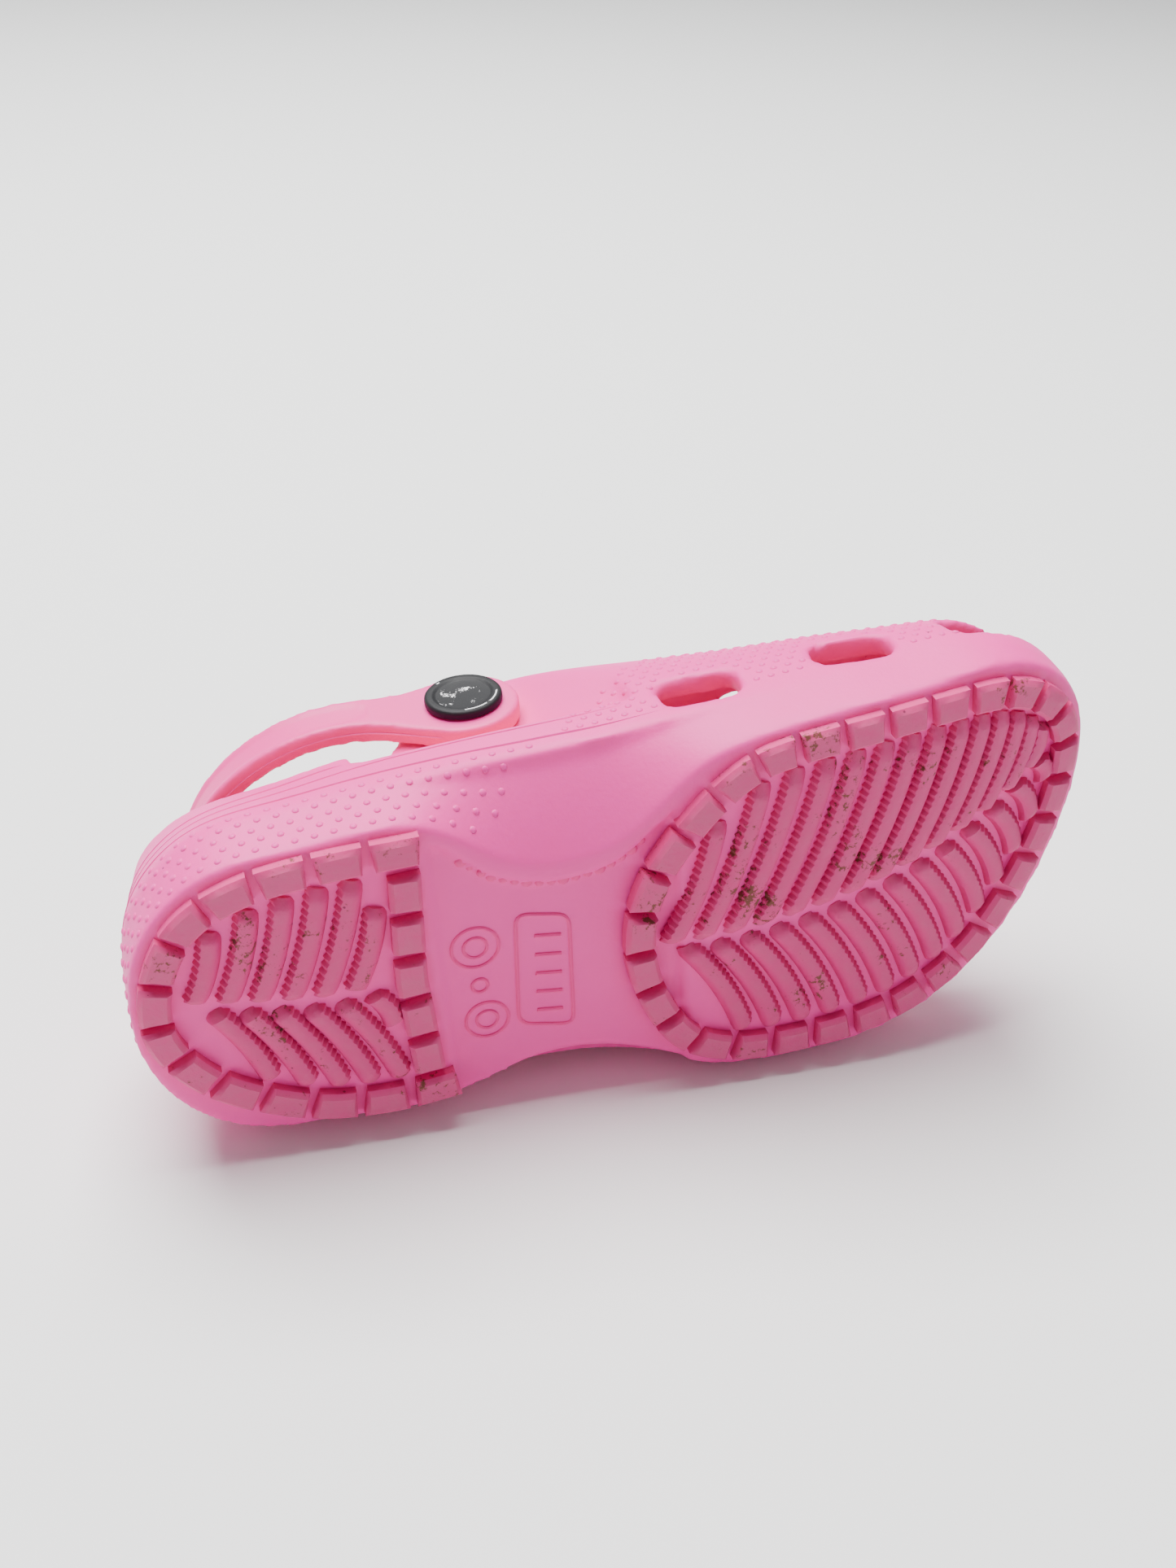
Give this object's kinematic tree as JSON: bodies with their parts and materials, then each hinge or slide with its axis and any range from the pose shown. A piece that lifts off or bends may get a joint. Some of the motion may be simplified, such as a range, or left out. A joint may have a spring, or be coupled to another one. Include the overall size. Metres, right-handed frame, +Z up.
{
  "type": "foam clog",
  "caption": "Child's left moulded foam clog with vented upper, block-and-chevron tread and a pivoting heel strap on two snap rivets.",
  "frame": {"origin": "ground level under the middle of the clog's bounding box", "axes": "+X from heel to toe, +Y to the outer (lateral) side of the left foot, +Z up"},
  "size_m": [0.205, 0.0908, 0.077],
  "materials": {
    "foam": "satin closed-cell foam",
    "tread_foam": "worn matte closed-cell foam",
    "strap_foam": "satin closed-cell foam",
    "rivet_black": "matte with worn rim"
  },
  "bodies": {
    "clog_body": {"sole": "foam", "footbed": "foam", "vamp_upper": "foam", "heel_cup": "foam", "forefoot_tread": "tread_foam", "heel_tread": "tread_foam"},
    "strap": {"heel_strap": "strap_foam"},
    "medial_rivet": {"medial_rivet_head": "rivet_black", "medial_rivet_socket": "rivet_black"},
    "lateral_rivet": {"lateral_rivet_head": "rivet_black", "lateral_rivet_socket": "rivet_black"}
  },
  "joints": [
    {"name": "strap_pivot", "type": "hinge", "parent": "clog_body", "child": "strap", "pos_m": [-0.0239, 0, 0.0465], "axis": [0, 1, 0], "range_deg": [-1, 104]},
    {"name": "medial_rivet_spin", "type": "hinge", "parent": "clog_body", "child": "medial_rivet", "pos_m": [-0.0239, -0.03, 0.0465], "axis": [0, 1, 0], "continuous": true},
    {"name": "lateral_rivet_spin", "type": "hinge", "parent": "clog_body", "child": "lateral_rivet", "pos_m": [-0.0239, 0.03, 0.0465], "axis": [0, 1, 0], "continuous": true}
  ]
}
